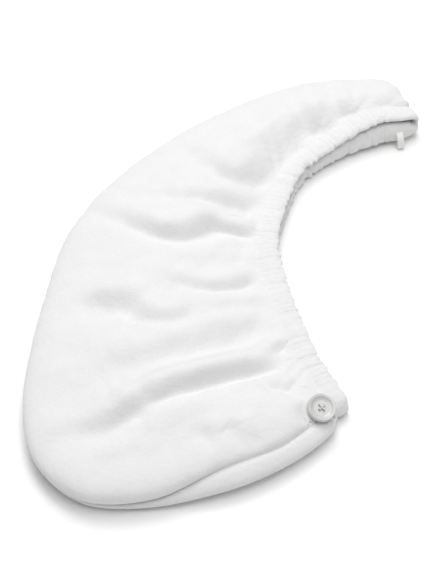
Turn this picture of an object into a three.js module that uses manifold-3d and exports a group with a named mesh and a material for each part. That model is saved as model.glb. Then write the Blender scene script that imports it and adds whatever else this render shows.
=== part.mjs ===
// A hair turban towel lying on a table. Two curved cloth panels are sewn together round their outer
// edge and make a flat pouch. Its mouth, along the hollow side, has a gathered elastic casing. A
// dished button is sewn on where the front seam meets the casing, and an elastic loop hangs out of
// the mouth at the tail. Millimetres, +Z up, X across and Y from the wide end to the tail.
import * as THREE from "three";
import Module from "manifold-3d";

const wasm = await Module();
wasm.setup();

// Driving dimensions of the towel as it lies
const TOWEL_LENGTH = 446;
const TOWEL_WIDTH = 319;
const POUCH_HEIGHT = 36;
const CLOTH_THICKNESS = 3;
const EDGE_ROLL = 22;
const SEAM_LIFT = 4.5;

// The elastic casing round the mouth and its gathers
const CASING_WIDTH = 18;
const CASING_THICKNESS = 6;
const CASING_PINCH = 0.6;
const CASING_NARROWING = 0.8;
const GATHER_PITCH = 11.6;
const GATHER_DEPTH = 1.1;
const GATHER_REACH = 26;

// The folds that run over the upper panel
const FOLD_RISE = 8;
const FOLD_SPREAD = 16;

// The button, its four holes and its thread
const BUTTON_DIAMETER = 22;
const BUTTON_THICKNESS = 3.4;
const BUTTON_RIM_WIDTH = 2.6;
const BUTTON_DISH_DEPTH = 1.5;
const BUTTON_HOLE_DIAMETER = 2;
const BUTTON_HOLE_SPACING = 3.6;
const THREAD_DIAMETER = 1.2;
const SHANK_DIAMETER = 6.5;
const SHANK_HEIGHT = 1;

// The elastic loop at the tail
const LOOP_WIDTH = 5.6;
const LOOP_THICKNESS = 1.2;
const LOOP_EYE = 0.9;

// Clearances
const SEAM_GAP = 0.4;
const CASING_GAP = 0.3;
const BUTTON_GAP = 0.3;
const LOOP_GAP = 0.3;

// A table's rows as objects with its columns' names
const table = (columns, rows) =>
  rows.map((row) => Object.fromEntries(columns.map((name, k) => [name, row[k]])));

// A row for each section across the towel, from the button's corner to the tail's corner. Plan
// places are shares of the towel's width and length from the middle of its footprint: seamX and
// seamY on the seam, lipX and lipY on the fold of the upper casing. The other lengths are shares of
// the pouch's height: seam, shoulder and middle are heights of the seam, of the panel just inside
// its rounded edge and of its middle; gape is the clear height between the two casings, lift is how
// far the lower one is off the table and reach how far it lies outside the upper one. rollUp and
// rollDown say how far the upper and the lower panel bulge outside the seam.
const SECTIONS = table(
  [
    "seamX", "seamY", "lipX", "lipY", "seam", "shoulder",
    "middle", "gape", "lift", "reach", "rollUp", "rollDown",
  ],
  [
    [0.23, -0.29, 0.268, -0.28, 0.25, 0.56, 0.6, 0.16, 0, 0, 0.7, 1.2],
    [0.197, -0.322, 0.24, -0.257, 0.35, 0.64, 0.66, 0.19, 0, 0, 0.5, 1.9],
    [0.1, -0.387, 0.217, -0.228, 0.42, 0.73, 0.76, 0.22, 0, 0, 0.4, 1.6],
    [-0.039, -0.436, 0.194, -0.194, 0.42, 0.74, 0.84, 0.22, 0, 0, 0.5, 1.8],
    [-0.196, -0.482, 0.177, -0.157, 0.16, 0.69, 0.89, 0.22, 0, 0, 0.7, 1.3],
    [-0.352, -0.481, 0.162, -0.124, 0.1, 0.68, 0.92, 0.22, 0, 0, 0.8, 0.8],
    [-0.447, -0.421, 0.149, -0.09, 0.1, 0.7, 0.96, 0.22, 0, 0, 0.8, 0.8],
    [-0.487, -0.314, 0.136, -0.056, 0.12, 0.72, 0.97, 0.22, 0, 0, 0.8, 0.8],
    [-0.479, -0.184, 0.124, -0.018, 0.15, 0.74, 0.98, 0.22, 0, 0, 0.8, 0.8],
    [-0.452, -0.054, 0.113, 0.021, 0.16, 0.75, 1, 0.22, 0, 0, 0.8, 0.8],
    [-0.41, 0.08, 0.105, 0.059, 0.17, 0.76, 1, 0.22, 0, 0, 0.8, 0.8],
    [-0.327, 0.191, 0.108, 0.096, 0.18, 0.76, 1, 0.2, 0.01, 0, 0.8, 0.8],
    [-0.208, 0.29, 0.12, 0.145, 0.19, 0.76, 0.99, 0.17, 0.02, 0, 0.8, 0.8],
    [-0.067, 0.375, 0.141, 0.199, 0.2, 0.76, 0.97, 0.16, 0.03, 0, 0.8, 0.8],
    [0.087, 0.443, 0.175, 0.256, 0.2, 0.75, 0.93, 0.16, 0.04, 0, 0.8, 0.8],
    [0.228, 0.482, 0.224, 0.292, 0.2, 0.74, 0.88, 0.17, 0.06, 0, 0.8, 0.8],
    [0.34, 0.489, 0.284, 0.326, 0.2, 0.72, 0.83, 0.22, 0.08, 0.04, 0.8, 0.8],
    [0.399, 0.484, 0.342, 0.354, 0.2, 0.72, 0.83, 0.29, 0.1, 0.11, 0.8, 0.8],
    [0.423, 0.467, 0.393, 0.37, 0.2, 0.72, 0.84, 0.33, 0.11, 0.13, 0.8, 0.8],
    [0.442, 0.446, 0.438, 0.378, 0.2, 0.7, 0.8, 0.27, 0.1, 0.13, 0.8, 0.8],
    [0.45, 0.43, 0.479, 0.39, 0.2, 0.62, 0.68, 0.14, 0.08, 0, 0.8, 0.8],
  ],
);

// A row for each fold over the upper panel, from its end near the mouth, past its middle, to its
// end near the outer edge, in shares of the towel's width and length. rise and spread are shares of
// the folds' height and half-width; a rise below nought is a hollow. lean above nought makes the
// side towards the wide end the steeper one.
const FOLDS = table(
  ["startX", "startY", "midX", "midY", "endX", "endY", "rise", "spread", "lean"],
  [
    [0.146, -0.157, -0.1, -0.247, -0.36, -0.357, 0.8, 0.8, 0.35],
    [0.14, -0.225, -0.1, -0.278, -0.35, -0.386, -0.6, 0.62, 0],
    [0.16, -0.165, 0.115, -0.18, 0.06, -0.215, -0.35, 0.32, 0],
    [0.14, -0.105, -0.08, -0.177, -0.41, -0.215, 0.45, 1, 0.2],
    [0.11, -0.083, -0.1, -0.138, -0.27, -0.123, -0.4, 0.6, 0],
    [0.05, -0.08, -0.13, -0.09, -0.26, -0.096, 0.3, 0.55, 0.2],
    [0.08, 0.075, -0.06, 0.13, -0.22, 0.08, -0.5, 0.55, -0.2],
    [0.06, 0.045, -0.09, 0.06, -0.26, 0.03, 0.35, 0.8, 0],
    [0.1, 0.132, -0.1, 0.134, -0.28, 0.16, 0.5, 0.5, 0.2],
    [0.12, 0.157, -0.07, 0.16, -0.25, 0.18, -0.35, 0.4, 0],
    [0.14, 0.178, -0.04, 0.19, -0.26, 0.195, 0.5, 0.6, 0.3],
    [0.16, 0.225, 0.02, 0.24, -0.14, 0.26, -0.4, 0.8, 0],
    [0.18, 0.285, 0.08, 0.32, -0.06, 0.33, 0.45, 0.8, 0.2],
    [0.22, 0.35, 0.18, 0.395, 0.17, 0.445, -0.5, 0.75, 0],
    [0.27, 0.38, 0.25, 0.42, 0.225, 0.46, 0.5, 0.45, 0],
    [0.32, 0.38, 0.295, 0.415, 0.285, 0.46, -0.4, 0.5, 0],
    [0.365, 0.385, 0.335, 0.425, 0.32, 0.465, 0.4, 0.55, 0],
    [0.14, -0.255, 0.06, -0.262, -0.02, -0.31, 0.25, 0.7, 0],
  ],
);

const UP = new THREE.Vector3(0, 0, 1);
const clamp01 = (x) => Math.min(1, Math.max(0, x));
const smooth = (x) => clamp01(x) ** 2 * (3 - 2 * clamp01(x));

// A smooth curve in plan through two columns of the sections' table
function planCurve(columnX, columnY) {
  const points = SECTIONS.map((row) =>
    new THREE.Vector3(row[columnX] * TOWEL_WIDTH, row[columnY] * TOWEL_LENGTH, 0));
  return new THREE.CatmullRomCurve3(points, false, "centripetal");
}

// A length that follows one column of the table, read at a place from 0 to 1 along the sections
function column(name, size = POUCH_HEIGHT) {
  const values = SECTIONS.map((row) => row[name] * size);
  return (along) => {
    const at = clamp01(along) * (values.length - 1);
    const k = Math.min(values.length - 2, Math.floor(at));
    return THREE.MathUtils.lerp(values[k], values[k + 1], smooth(at - k));
  };
}

const gape = column("gape");
const lift = column("lift");
const reach = column("reach");
const seamShare = column("seam");
const shoulder = column("shoulder");
const middle = column("middle");
const rollUp = column("rollUp", 1);
const rollDown = column("rollDown", 1);

const lowerLipHeight = (along) => CASING_THICKNESS / 2 + lift(along);
const upperLipHeight = (along) => lowerLipHeight(along) + CASING_THICKNESS + gape(along);

// The mouth: the upper casing's fold, and the line inside it where the panels end
const lipCurve = planCurve("lipX", "lipY");
function inward(along) {
  const t = lipCurve.getTangent(along);
  return new THREE.Vector3(-t.y, t.x, 0).normalize();
}
const mouthEdge = (along, outside = 0) =>
  lipCurve.getPoint(along).addScaledVector(inward(along), CASING_WIDTH + CASING_GAP - outside);

// The seam starts and ends where it meets the casing
const seamRows = SECTIONS.map((row) =>
  new THREE.Vector3(row.seamX * TOWEL_WIDTH, row.seamY * TOWEL_LENGTH, 0));
seamRows[0] = mouthEdge(0);
seamRows[seamRows.length - 1] = mouthEdge(1);
const seamCurve = new THREE.CatmullRomCurve3(seamRows, false, "centripetal");

const SEAM_SAMPLES = 400;
const seamLine = Array.from({ length: SEAM_SAMPLES + 1 }, (_, k) => {
  const along = k / SEAM_SAMPLES;
  const tangent = seamCurve.getTangent(along);
  const outward = new THREE.Vector3(-tangent.y, tangent.x, 0).normalize();
  return { along, point: seamCurve.getPoint(along), outward };
});

// The seam's height: the table's, and half-way between the two casings where it meets them
const SEAM_MEETS_CASING = 0.045;
function seamHeight(along) {
  const free = SEAM_LIFT + seamShare(along);
  const met = (upperLipHeight(along) + lowerLipHeight(along)) / 2;
  return THREE.MathUtils.lerp(met, free, smooth(Math.min(along, 1 - along) / SEAM_MEETS_CASING));
}

// The nearest place on the seam to a point of the plan
function nearestSeam(point) {
  let best = null;
  for (const sample of seamLine) {
    const distance = Math.hypot(point.x - sample.point.x, point.y - sample.point.y);
    if (!best || distance < best.distance) best = { distance, sample };
  }
  const outward = best.sample.outward.clone();
  if (best.distance > 1) {
    outward.set(best.sample.point.x - point.x, best.sample.point.y - point.y, 0).normalize();
  }
  return { distance: best.distance, along: best.sample.along, outward };
}

// The rounded edge of a panel as a cubic curve from the seam: how far out it is and how far it has
// come towards the panel's own height
const ROLL_RISE = 0.6;
function edgeRoll(t, bulge, height) {
  const a = 3 * t * (1 - t) ** 2;
  const b = 3 * t ** 2 * (1 - t);
  const out = a * bulge * Math.abs(height) - t ** 3 * EDGE_ROLL + t * EDGE_ROLL;
  return { out, share: a * ROLL_RISE + b + t ** 3 };
}

// The height that the folds add at a point of the plan
const FOLD_SAMPLES = 14;
const foldPaths = FOLDS.map((row) => {
  const at = (x, y) => new THREE.Vector2(row[x] * TOWEL_WIDTH, row[y] * TOWEL_LENGTH);
  const path = new THREE.SplineCurve([at("startX", "startY"), at("midX", "midY"), at("endX", "endY")]);
  return { row, points: path.getPoints(FOLD_SAMPLES) };
});
function foldHeight(x, y) {
  let height = 0;
  for (const { row, points } of foldPaths) {
    let best = { distance: Infinity };
    for (let k = 0; k < FOLD_SAMPLES; k++) {
      const a = points[k];
      const dx = points[k + 1].x - a.x;
      const dy = points[k + 1].y - a.y;
      const share = clamp01(((x - a.x) * dx + (y - a.y) * dy) / (dx * dx + dy * dy));
      const ox = x - a.x - share * dx;
      const oy = y - a.y - share * dy;
      const distance = Math.hypot(ox, oy);
      if (distance < best.distance) {
        best = { distance, along: (k + share) / FOLD_SAMPLES, side: Math.sign(dx * oy - dy * ox) };
      }
    }
    const spread = row.spread * FOLD_SPREAD * (1 - row.lean * best.side);
    const taper = smooth(best.along / 0.2) * smooth((1 - best.along) / 0.35);
    height += row.rise * FOLD_RISE * Math.exp(-((best.distance / spread) ** 2)) * (0.15 + 0.85 * taper);
  }
  return height;
}

// Where the button sits: on the front seam near the casing, square to a slope that faces the front
const BUTTON_X = 0.192;
const BUTTON_Y = -0.319;
const BUTTON_TILT = THREE.MathUtils.degToRad(24);
const BUTTON_TURN = THREE.MathUtils.degToRad(-62);
const buttonAxis = new THREE.Vector3(
  Math.sin(BUTTON_TILT) * Math.cos(BUTTON_TURN),
  Math.sin(BUTTON_TILT) * Math.sin(BUTTON_TURN),
  Math.cos(BUTTON_TILT),
);
const BUTTON_SEAT_HEIGHT = 22;
const buttonSeat = new THREE.Vector3(BUTTON_X * TOWEL_WIDTH, BUTTON_Y * TOWEL_LENGTH, BUTTON_SEAT_HEIGHT);

// The upper panel is drawn down under the button: there it keeps below the button's seat, and round
// it the cloth rises again at an even slope
const DIMPLE_RADIUS = BUTTON_DIAMETER / 2 + 3;
const DIMPLE_SLOPE = 0.6;
function drawnDown(point) {
  const dx = point.x - buttonSeat.x;
  const dy = point.y - buttonSeat.y;
  const seat = buttonSeat.z - (buttonAxis.x * dx + buttonAxis.y * dy) / buttonAxis.z;
  const rise = Math.max(0, Math.hypot(dx, dy) - DIMPLE_RADIUS) * DIMPLE_SLOPE;
  return Math.min(point.z, seat - CLOTH_THICKNESS / 2 / buttonAxis.z + rise);
}

// The stations along the mouth: close together on the rounded ends, then two to each gather
const ROLL_SHARES = [0, 0.16, 0.36, 0.62, 1];
function mouthStations() {
  const steps = 600;
  const lengths = [0];
  for (let k = 1; k <= steps; k++) {
    lengths.push(lengths[k - 1] + mouthEdge(k / steps).distanceTo(mouthEdge((k - 1) / steps)));
  }
  const total = lengths[steps];
  const alongAt = (length) => {
    const k = Math.min(steps - 1, Math.max(0, lengths.findIndex((x) => x >= length) - 1));
    return (k + clamp01((length - lengths[k]) / (lengths[k + 1] - lengths[k]))) / steps;
  };
  const between = Math.round((total - 2 * EDGE_ROLL) / (GATHER_PITCH / 2));
  const ends = ROLL_SHARES.map((share) => share * EDGE_ROLL);
  const pitch = (total - 2 * EDGE_ROLL) / between;
  const inner = Array.from({ length: between - 1 }, (_, k) => EDGE_ROLL + (k + 1) * pitch);
  const all = [...ends, ...inner, ...ends.map((length) => total - length).reverse()];
  return all.map((length, k) => ({
    along: alongAt(length),
    roll: Math.min(length, total - length) / EDGE_ROLL,
    gather: (k % 2 ? -1 : 1) * smooth(Math.min(length, total - length) / EDGE_ROLL),
  }));
}
const stations = mouthStations();

// The panels' first and last stations lie a little way in from the seam's ends
const SEAM_START = 0.004;

// The middle surface of a panel, at a station and a share across from the seam to the mouth
function panelPoint(side, station, across) {
  const { along } = station;
  const outside = side === "lower" ? reach(along) : 0;
  const seamPoint = seamCurve.getPoint(THREE.MathUtils.lerp(SEAM_START, 1 - SEAM_START, along));
  const mouthPoint = mouthEdge(along, outside);
  const plan = seamPoint.clone().lerp(mouthPoint, across);
  const seam = nearestSeam(plan);
  if (across === 0 || along === 0 || along === 1) seam.distance = 0;
  const t = clamp01(seam.distance / EDGE_ROLL);
  const toMouth = (1 - across) * seamPoint.distanceTo(mouthPoint);
  const mouthOut = inward(along).negate();
  const nearMouth = smooth(1 - toMouth / EDGE_ROLL);
  seam.outward.addScaledVector(mouthOut, -nearMouth * seam.outward.dot(mouthOut));
  const gather = station.gather * GATHER_DEPTH * Math.exp(-toMouth / GATHER_REACH);
  let height;
  if (side === "upper") {
    const far = across * 2 - 1;
    const crown = across < 0.5
      ? THREE.MathUtils.lerp(shoulder(along), middle(along), smooth(across * 2))
      : THREE.MathUtils.lerp(middle(along), upperLipHeight(along), smooth(far) * 0.6 + far * 0.4);
    height = crown + foldHeight(plan.x, plan.y) * smooth(toMouth / GATHER_REACH) + gather;
  } else {
    const rise = smooth(1 - toMouth / (2 * EDGE_ROLL));
    height = THREE.MathUtils.lerp(CLOTH_THICKNESS / 2, lowerLipHeight(along), rise);
    height += Math.max(0, gather) * rise;
  }
  const seamZ = seamHeight(seam.along);
  const bulge = side === "upper" ? rollUp(seam.along) : rollDown(seam.along);
  const roll = edgeRoll(t, bulge, height - seamZ);
  const point = plan.addScaledVector(seam.outward, roll.out);
  point.z = seamZ + (height - seamZ) * roll.share;
  if (side === "upper") point.z = Math.max(seamZ, drawnDown(point));
  return { point, outward: seam.outward, distance: seam.distance, mouthOut, nearMouth };
}

// The shares across a section: close together on the rounded edge, then even to the mouth
function acrossShares(side, station, evenRows) {
  const seamPoint = seamCurve.getPoint(station.along);
  const outside = side === "lower" ? reach(station.along) : 0;
  const length = seamPoint.distanceTo(mouthEdge(station.along, outside));
  const edge = Math.min(0.5, EDGE_ROLL / Math.max(1, length));
  const shares = ROLL_SHARES.map((share) => share * edge);
  for (let k = 1; k <= evenRows; k++) shares.push(edge + ((1 - edge) * k) / evenRows);
  return shares;
}

// One panel's points, row by row, with the direction that its thickness takes at each
function panelGrid(side, evenRows) {
  const grid = stations.map((station) =>
    acrossShares(side, station, evenRows).map((across) => panelPoint(side, station, across)));
  const last = grid.length - 1;
  const end = grid[0].length - 1;
  const up = side === "upper" ? 1 : -1;
  grid.forEach((row, i) => row.forEach((node, j) => {
    const a = grid[Math.max(0, i - 1)][j].point;
    const b = grid[Math.min(last, i + 1)][j].point;
    const c = row[Math.max(0, j - 1)].point;
    const d = row[Math.min(end, j + 1)].point;
    const lengthwise = b.clone().sub(a);
    node.normal = d.clone().sub(c).cross(lengthwise).multiplyScalar(up).normalize();
    const leaning = node.nearMouth * node.normal.dot(node.mouthOut);
    node.normal.addScaledVector(node.mouthOut, -leaning).normalize();
    node.onSeam = node.distance === 0;
    if (node.onSeam) {
      node.normal = node.outward.clone();
      if (i === 0) node.normal = lipCurve.getTangent(0).negate();
      if (i === last) node.normal = lipCurve.getTangent(1);
      node.point.z += (up * SEAM_GAP) / 2;
    }
  }));
  return grid;
}

// A closed solid from rows of points: an outer skin, an inner skin and the strip round their edge
function sheetSolid(outer, inner) {
  const rows = outer.length;
  const columns = outer[0].length;
  const positions = [...outer.flat(), ...inner.flat()].flatMap((p) => [p.x, p.y, p.z]);
  const at = (skin, i, j) => skin * rows * columns + i * columns + j;
  const index = [];
  const points = [...outer.flat(), ...inner.flat()];
  const quad = (a, b, c, d) => {
    const straight = points[a].distanceTo(points[c]) < points[b].distanceTo(points[d]);
    index.push(...(straight ? [a, b, c, a, c, d] : [b, c, d, b, d, a]));
  };
  for (let i = 0; i < rows - 1; i++) {
    for (let j = 0; j < columns - 1; j++) {
      quad(at(0, i, j), at(0, i, j + 1), at(0, i + 1, j + 1), at(0, i + 1, j));
      quad(at(1, i, j), at(1, i + 1, j), at(1, i + 1, j + 1), at(1, i, j + 1));
    }
  }
  const rim = [];
  for (let j = 0; j < columns - 1; j++) rim.push([0, j]);
  for (let i = 0; i < rows - 1; i++) rim.push([i, columns - 1]);
  for (let j = columns - 1; j > 0; j--) rim.push([rows - 1, j]);
  for (let i = rows - 1; i > 0; i--) rim.push([i, 0]);
  rim.forEach(([i, j], k) => {
    const [m, n] = rim[(k + 1) % rim.length];
    quad(at(0, i, j), at(1, i, j), at(1, m, n), at(0, m, n));
  });
  const geometry = new THREE.BufferGeometry();
  geometry.setAttribute("position", new THREE.Float32BufferAttribute(positions, 3));
  geometry.setIndex(index);
  return geometry;
}

// The seam's edge is mitred, so that the two panels meet on a level face, and next to the seam each
// panel keeps to its own side of that face
const SEAM_MITRE = 1.3;
const SEAM_SPLAY = 0.1;
function panelGeometry(side, grid) {
  const half = CLOTH_THICKNESS / 2;
  const up = side === "upper" ? 1 : -1;
  const skin = (sign) => grid.map((row) => row.map((node) => {
    if (node.onSeam) return node.point.clone().addScaledVector(node.normal, sign * half * SEAM_MITRE);
    const point = node.point.clone().addScaledVector(node.normal, sign * half);
    const seam = nearestSeam(point);
    const clear = seamHeight(seam.along) + up * (SEAM_GAP / 2 + seam.distance * SEAM_SPLAY);
    if (seam.distance < EDGE_ROLL) point.z = up * Math.max(up * point.z, up * clear);
    return point;
  }));
  return side === "upper" ? sheetSolid(skin(1), skin(-1)) : sheetSolid(skin(-1), skin(1));
}

const UPPER_ROWS = 13;
const LOWER_ROWS = 5;
const upperGrid = panelGrid("upper", UPPER_ROWS);
const lowerGrid = panelGrid("lower", LOWER_ROWS);

// The casing: one closed ring along the upper panel's mouth edge and back along the lower one's
const CASING_SIDES = 8;
const CASING_SQUARE = 0.55;
function casingGeometry() {
  const path = [];
  const open = (station) => station.roll === 0 || station.roll > ROLL_SHARES[1];
  stations.forEach((station, i) => {
    if (open(station)) path.push({ station, node: upperGrid[i].at(-1) });
  });
  for (let i = stations.length - 2; i > 0; i--) {
    if (open(stations[i])) path.push({ station: stations[i], node: lowerGrid[i].at(-1) });
  }
  const rings = path.map(({ station, node }, k) => {
    const before = path[(k - 1 + path.length) % path.length].node.point;
    const after = path[(k + 1) % path.length].node.point;
    const out = inward(station.along).negate();
    const start = node.point.clone();
    if (station.roll === 0) start.copy(before).add(after).multiplyScalar(0.5);
    const normal = out.clone().cross(after.clone().sub(before)).normalize();
    const full = THREE.MathUtils.lerp(CASING_PINCH, 1 + 0.12 * station.gather, smooth(station.roll));
    const narrow = THREE.MathUtils.lerp(CASING_NARROWING, 1, smooth(station.roll));
    const ring = [];
    for (let s = 0; s < CASING_SIDES; s++) {
      const angle = ((s + 0.5) / CASING_SIDES) * Math.PI * 2;
      const square = (x) => Math.sign(x) * Math.abs(x) ** CASING_SQUARE;
      const across = CASING_GAP + (CASING_WIDTH / 2) * narrow * (1 + square(Math.cos(angle)));
      const thick = (CASING_THICKNESS / 2) * full * square(Math.sin(angle));
      ring.push(start.clone().addScaledVector(out, across).addScaledVector(normal, thick));
    }
    return ring;
  });
  const positions = rings.flat().flatMap((p) => [p.x, p.y, p.z]);
  const index = [];
  rings.forEach((_, k) => {
    const next = (k + 1) % rings.length;
    for (let s = 0; s < CASING_SIDES; s++) {
      const t = (s + 1) % CASING_SIDES;
      const [a, b] = [k * CASING_SIDES + s, k * CASING_SIDES + t];
      const [c, d] = [next * CASING_SIDES + t, next * CASING_SIDES + s];
      index.push(a, c, b, a, d, c);
    }
  });
  const geometry = new THREE.BufferGeometry();
  geometry.setAttribute("position", new THREE.Float32BufferAttribute(positions, 3));
  geometry.setIndex(index);
  return geometry;
}

// Round solids and joins for the button and its thread
const solidOf = (geometry) => {
  const position = geometry.getAttribute("position");
  const keys = new Map();
  const vertices = [];
  const corner = (k) => {
    const p = [position.getX(k), position.getY(k), position.getZ(k)];
    const key = p.map((x) => Math.round(x * 1e4)).join(" ");
    if (!keys.has(key)) {
      keys.set(key, keys.size);
      vertices.push(...p);
    }
    return keys.get(key);
  };
  const order = geometry.index ? [...geometry.index.array] : [...Array(position.count).keys()];
  const triangles = [];
  for (let k = 0; k < order.length; k += 3) {
    const [a, b, c] = [corner(order[k]), corner(order[k + 1]), corner(order[k + 2])];
    if (a !== b && b !== c && c !== a) triangles.push(a, b, c);
  }
  return new wasm.Manifold(new wasm.Mesh({
    numProp: 3,
    vertProperties: new Float32Array(vertices),
    triVerts: new Uint32Array(triangles),
  }));
};
const geometryOf = (solid) => {
  const mesh = solid.getMesh();
  const geometry = new THREE.BufferGeometry();
  geometry.setAttribute("position", new THREE.Float32BufferAttribute(mesh.vertProperties, 3));
  geometry.setIndex([...mesh.triVerts]);
  return geometry;
};

// A turned solid from a profile of radius and height pairs, standing on its axis along +Z
function turned(profile, sides) {
  const geometry = new THREE.LatheGeometry(profile.map(([r, z]) => new THREE.Vector2(r, z)), sides);
  return geometry.rotateX(Math.PI / 2);
}
const rod = (radius, low, high, sides) =>
  turned([[0, low], [radius, low], [radius, high], [0, high]], sides);

const BUTTON_SIDES = 40;
const SMALL_SIDES = 8;
const BUTTON_EDGE = 0.8;
const dishFloor = BUTTON_THICKNESS - BUTTON_DISH_DEPTH;
const buttonLift = BUTTON_GAP + SHANK_HEIGHT + BUTTON_GAP;
const holePlaces = [0, 1, 2, 3].map((k) => {
  const angle = ((k + 0.5) * Math.PI) / 2;
  const radius = BUTTON_HOLE_SPACING / Math.SQRT2;
  return new THREE.Vector3(Math.cos(angle) * radius, Math.sin(angle) * radius, 0);
});

function buttonGeometry() {
  const radius = BUTTON_DIAMETER / 2;
  const inner = radius - BUTTON_RIM_WIDTH;
  const profile = [
    [0, 0],
    [radius - 2 * BUTTON_EDGE, 0],
    [radius, BUTTON_EDGE],
    [radius, BUTTON_THICKNESS - BUTTON_EDGE],
    [radius - BUTTON_EDGE, BUTTON_THICKNESS],
    [inner + BUTTON_EDGE / 2, BUTTON_THICKNESS - BUTTON_EDGE / 4],
    [inner - BUTTON_EDGE, dishFloor + BUTTON_DISH_DEPTH / 3],
    [inner - 3 * BUTTON_EDGE, dishFloor],
    [0, dishFloor],
  ];
  let body = solidOf(turned(profile, BUTTON_SIDES));
  for (const place of holePlaces) {
    const drill = rod(BUTTON_HOLE_DIAMETER / 2, -BUTTON_THICKNESS, 2 * BUTTON_THICKNESS, SMALL_SIDES);
    body = body.subtract(solidOf(drill.translate(place.x, place.y, 0)));
  }
  return geometryOf(body).translate(0, 0, buttonLift);
}

// The thread: a shank under the button, four legs through its holes and two crossing stitches
function threadGeometry() {
  const radius = THREAD_DIAMETER / 2;
  const over = buttonLift + dishFloor + BUTTON_GAP + radius;
  let body = solidOf(rod(SHANK_DIAMETER / 2, BUTTON_GAP, BUTTON_GAP + SHANK_HEIGHT, 2 * SMALL_SIDES));
  holePlaces.forEach((place, k) => {
    const leg = rod(radius, BUTTON_GAP + SHANK_HEIGHT / 2, over, SMALL_SIDES);
    body = body.add(solidOf(leg.translate(place.x, place.y, 0)));
    if (k < 2) {
      const span = place.length();
      const stitch = rod(radius, -span - radius / 2, span + radius / 2, SMALL_SIDES);
      stitch.rotateY(Math.PI / 2).rotateZ(Math.atan2(place.y, place.x));
      body = body.add(solidOf(stitch.translate(0, 0, over + (k * radius) / 3)));
    }
  });
  return geometryOf(body);
}

// The loop: a hairpin of flat elastic, sewn in behind the lower casing. It lies on that casing,
// comes out over it and hangs to the table. Its route is a row for each bend: out is from the
// casing's fold, in shares of the casing's width, and up is a share of its height on the casing.
const LOOP_ALONG = 0.942;
const LOOP_ROUTE = [
  { out: -0.8, up: 0.97 },
  { out: -0.4, up: 1.02 },
  { out: -0.1, up: 1 },
  { out: 0.13, up: 0.82 },
  { out: 0.2, up: 0.52 },
  { out: 0.22, up: 0.28 },
  { out: 0.25, up: 0.16 },
];
function loopGeometry() {
  const casingTop = lowerLipHeight(LOOP_ALONG) + CASING_THICKNESS / 2 + GATHER_DEPTH;
  const onCasing = casingTop + LOOP_GAP + LOOP_THICKNESS + LOOP_EYE / 2;
  const outermost = reach(LOOP_ALONG);
  const route = new THREE.SplineCurve(LOOP_ROUTE.map(({ out, up }) =>
    new THREE.Vector2(out * CASING_WIDTH + outermost, up * onCasing)));
  const steps = 16;
  const outline = (half, from, to) => {
    const sides = [[], []];
    for (let k = 0; k <= steps; k++) {
      const along = THREE.MathUtils.lerp(from, to, k / steps);
      const point = route.getPointAt(along);
      const tangent = route.getTangentAt(along);
      const across = new THREE.Vector2(-tangent.y, tangent.x).multiplyScalar(half);
      sides[0].push(point.clone().add(across));
      sides[1].push(point.clone().sub(across));
    }
    return [...sides[0], ...sides[1].reverse()];
  };
  const length = route.getLength();
  const outer = outline(LOOP_EYE / 2 + LOOP_THICKNESS, 0, 1);
  const inner = outline(LOOP_EYE / 2, LOOP_THICKNESS / length, 1 - LOOP_THICKNESS / length);
  const half = LOOP_WIDTH / 2;
  const rings = [[outer, half], [inner, half], [inner, -half], [outer, -half]];
  const positions = rings.flatMap(([points, z]) => points.flatMap((p) => [p.x, p.y, z]));
  const count = outer.length;
  const index = [];
  rings.forEach((_, r) => {
    for (let k = 0; k < count; k++) {
      const next = (k + 1) % count;
      const above = ((r + 1) % rings.length) * count;
      const [a, b, c, d] = [r * count + k, r * count + next, above + next, above + k];
      index.push(a, c, b, a, d, c);
    }
  });
  const geometry = new THREE.BufferGeometry();
  geometry.setAttribute("position", new THREE.Float32BufferAttribute(positions, 3));
  geometry.setIndex(index);
  return geometry;
}

// Materials
const matt = (name, color, roughness) =>
  new THREE.MeshStandardMaterial({ name, color, roughness, metalness: 0 });
const plush = matt("plush_cloth", 0xf4f4f3, 0.95);
const casingCloth = matt("casing_cloth", 0xf2f2f1, 0.95);
const plastic = matt("button_plastic", 0xe6e6e4, 0.3);
const cotton = matt("white_thread", 0xf0f0ee, 0.85);
const elastic = matt("elastic_tape", 0xebebe6, 0.75);

const towel = new THREE.Group();
const add = (name, geometry, material, parent = towel) => {
  const mesh = new THREE.Mesh(geometry, material);
  mesh.name = name;
  parent.add(mesh);
  return mesh;
};
add("upper_panel", panelGeometry("upper", upperGrid), plush);
add("lower_panel", panelGeometry("lower", lowerGrid), plush);
add("elastic_casing", casingGeometry(), casingCloth);

const buttonGroup = new THREE.Group();
buttonGroup.position.copy(buttonSeat);
buttonGroup.quaternion.setFromUnitVectors(UP, buttonAxis);
add("button", buttonGeometry(), plastic, buttonGroup);
add("button_thread", threadGeometry(), cotton, buttonGroup);
towel.add(buttonGroup);

// The loop's own frame: x out of the mouth, y up, z along the mouth
const loopOut = inward(LOOP_ALONG).negate();
const loopGroup = new THREE.Group();
loopGroup.matrix.makeBasis(loopOut, UP, loopOut.clone().cross(UP));
loopGroup.matrix.setPosition(lipCurve.getPoint(LOOP_ALONG));
loopGroup.matrix.decompose(loopGroup.position, loopGroup.quaternion, loopGroup.scale);
add("button_loop", loopGeometry(), elastic, loopGroup);
towel.add(loopGroup);

// The origin is the middle of the footprint, on the table
const turban = new THREE.Group();
turban.add(towel);
turban.updateMatrixWorld(true);
const footprint = new THREE.Box3().setFromObject(towel, true);
const centre = footprint.getCenter(new THREE.Vector3());
towel.position.set(-centre.x, -centre.y, -footprint.min.z);

export default turban;
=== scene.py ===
"""Dresses the hair turban towel: fine plush panels, the gathered casing, materials, light and camera."""

import math

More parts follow.
